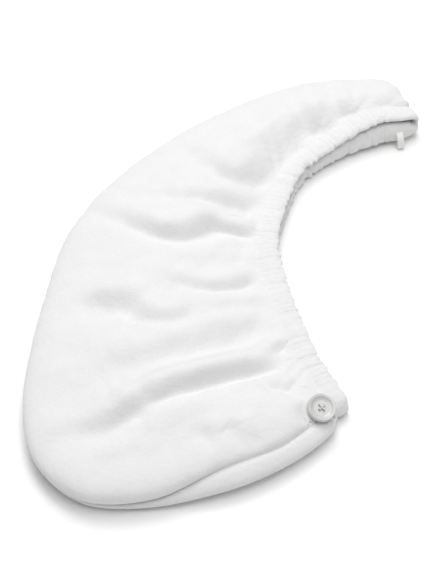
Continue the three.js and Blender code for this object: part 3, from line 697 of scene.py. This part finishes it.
def plush_group():
    """Short-pile nap: a bump height and a colour share from the object's own coordinates."""
    group = bpy.data.node_groups.new("plush_nap", "ShaderNodeTree")
    group.interface.new_socket("Vector", in_out="INPUT", socket_type="NodeSocketVector")
    group.interface.new_socket("Height", in_out="OUTPUT", socket_type="NodeSocketFloat")
    group.interface.new_socket("Shade", in_out="OUTPUT", socket_type="NodeSocketFloat")
    nodes, links = group.nodes, group.links
    start = nodes.new("NodeGroupInput")
    end = nodes.new("NodeGroupOutput")
    pile = noise(nodes, 900, 3, 0.65)
    tufts = noise(nodes, 260, 2)
    brushed = noise(nodes, 55, 3)
    for texture in (pile, tufts, brushed):
        links.new(start.outputs["Vector"], texture.inputs["Vector"])
    height = weighed_sum(nodes, links, pile.outputs["Fac"], 0.6, tufts.outputs["Fac"])
    shade = weighed_sum(nodes, links, brushed.outputs["Fac"], 0.5, pile.outputs["Fac"])
    links.new(height, end.inputs["Height"])
    links.new(shade, end.inputs["Shade"])
    return group


NAP = plush_group()
PLUSH_LIGHT = (0.80, 0.80, 0.80)
PLUSH_ROUGHNESS = 0.95
NAP_HEIGHT = 0.0008
# The range of the nap's shade that runs from the dark to the light colour
NAP_DARKEST = 0.5
NAP_LIGHTEST = 0.95


def plush_material(name, dark, bump):
    material, tree, shader = new_material(name, PLUSH_LIGHT, PLUSH_ROUGHNESS)
    nodes, links = tree.nodes, tree.links
    coords = nodes.new("ShaderNodeTexCoord")
    nap = nodes.new("ShaderNodeGroup")
    nap.node_tree = NAP
    links.new(coords.outputs["Object"], nap.inputs["Vector"])
    ramp = nodes.new("ShaderNodeMapRange")
    ramp.inputs["From Min"].default_value = NAP_DARKEST
    ramp.inputs["From Max"].default_value = NAP_LIGHTEST
    links.new(nap.outputs["Shade"], ramp.inputs["Value"])
    mix = nodes.new("ShaderNodeMix")
    mix.data_type = "RGBA"
    mix.inputs["A"].default_value = (*dark, 1)
    mix.inputs["B"].default_value = (*PLUSH_LIGHT, 1)
    links.new(ramp.outputs["Result"], mix.inputs["Factor"])
    links.new(mix.outputs["Result"], shader.inputs["Base Color"])
    relief = nodes.new("ShaderNodeBump")
    relief.inputs["Strength"].default_value = bump
    relief.inputs["Distance"].default_value = NAP_HEIGHT
    links.new(nap.outputs["Height"], relief.inputs["Height"])
    links.new(relief.outputs["Normal"], shader.inputs["Normal"])
    shader.inputs["Sheen Weight"].default_value = 0.25
    shader.inputs["Sheen Roughness"].default_value = 0.6
    shader.inputs["Specular IOR Level"].default_value = 0.2
    return material


plush = plush_material("plush_cloth_fine", dark=(0.755, 0.755, 0.753), bump=0.5)
casing_plush = plush_material("casing_cloth_fine", dark=(0.745, 0.745, 0.743), bump=0.6)
for obj, material, slot_name in (
    (upper_cloth, plush, "plush_cloth"),
    (lower_cloth, plush, "plush_cloth"),
    (casing_cloth, casing_plush, "casing_cloth"),
):
    obj.data.materials.append(material)
    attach(obj, "root")

plastic, _, plastic_shader = new_material("button_plastic_fine", (0.62, 0.62, 0.615), 0.28)
plastic_shader.inputs["Coat Weight"].default_value = 0.3
cotton, _, _ = new_material("thread_fine", (0.66, 0.66, 0.655), 0.85)
elastic, _, _ = new_material("elastic_fine", (0.84, 0.83, 0.79), 0.8)
for node, material in (("button", plastic), ("button_thread", cotton), ("button_loop", elastic)):
    for slot in bpy.data.objects[node].material_slots:
        slot.material = material

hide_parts("upper_panel")
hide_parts("lower_panel")
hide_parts("elastic_casing")


# Floor, light and camera, in metres

FLOOR_SIZE = 12.0
bpy.ops.object.select_all(action="DESELECT")
bpy.ops.mesh.primitive_plane_add(size=FLOOR_SIZE, location=(0, 0, 0))
floor = bpy.context.object
floor.name = "floor"
floor_material, _, _ = new_material("floor_paper", (0.96, 0.96, 0.96), 0.9)
floor.data.materials.append(floor_material)


def area_light(name, place, size, power):
    """A round soft light that looks at the towel's middle."""
    data = bpy.data.lights.new(name, "AREA")
    data.energy = power
    data.size = size
    data.shape = "DISK"
    light = bpy.data.objects.new(name, data)
    bpy.context.collection.objects.link(light)
    light.location = place
    light.rotation_euler = (-Vector(place)).to_track_quat("-Z", "Y").to_euler()


area_light("key", (-0.15, 0.9, 1.7), size=1.3, power=20)
area_light("overhead", (0.25, -0.35, 2.15), size=1.8, power=21)

WORLD_STRENGTH = 0.36
world = bpy.data.worlds.new("studio")
bpy.context.scene.world = world
world.use_nodes = True
world.node_tree.nodes["Background"].inputs["Color"].default_value = (1, 1, 1, 1)
world.node_tree.nodes["Background"].inputs["Strength"].default_value = WORLD_STRENGTH

bpy.context.scene.view_settings.view_transform = "Standard"

ELEVATION = math.radians(48)
DISTANCE = 1.7
TARGET = np.array([-0.0124, -0.0041, 0.0])
LENS = 131.2
SENSOR_WIDTH = 36
camera_data = bpy.data.cameras.new("camera")
camera_data.sensor_width = SENSOR_WIDTH
camera_data.lens = LENS
camera_data.clip_start = 0.05
camera_data.clip_end = 50
camera = bpy.data.objects.new("camera", camera_data)
bpy.context.collection.objects.link(camera)
camera.location = TARGET + DISTANCE * np.array([0, -math.cos(ELEVATION), math.sin(ELEVATION)])
camera.rotation_euler = (math.pi / 2 - ELEVATION, 0, 0)
bpy.context.scene.camera = camera
